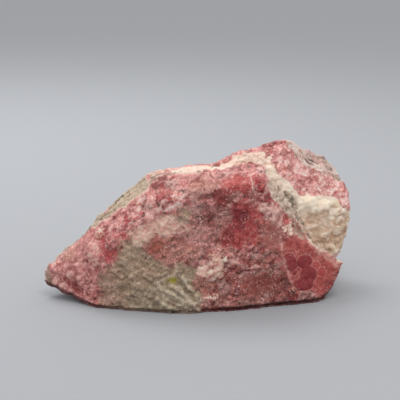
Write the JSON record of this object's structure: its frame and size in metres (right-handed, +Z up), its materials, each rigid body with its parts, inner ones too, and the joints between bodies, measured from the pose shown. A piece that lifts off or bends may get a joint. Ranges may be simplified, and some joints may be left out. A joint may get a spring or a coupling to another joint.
{
  "type": "rhodochrosite specimen",
  "caption": "Rough pink hand specimen of rhodochrosite, long and wedge-shaped, with a cream vein, a second slab rising to a peak and a curdled cream lump at its blunt end.",
  "frame": {"origin": "middle of the bounding box's floor, on the surface that the stone lies on", "axes": "+X along the stone towards its blunt end with the cream lump, +Y away from the broad pink front face, +Z up"},
  "size_m": [0.1138, 0.0478, 0.0546],
  "materials": {
    "rhodochrosite": "broken sugary crystal, pink to deep red, with a cream and grey-green carbonate vein; dull between small glints"
  },
  "bodies": {
    "root": {"rhodochrosite_stone": "rhodochrosite"}
  },
  "joints": []
}
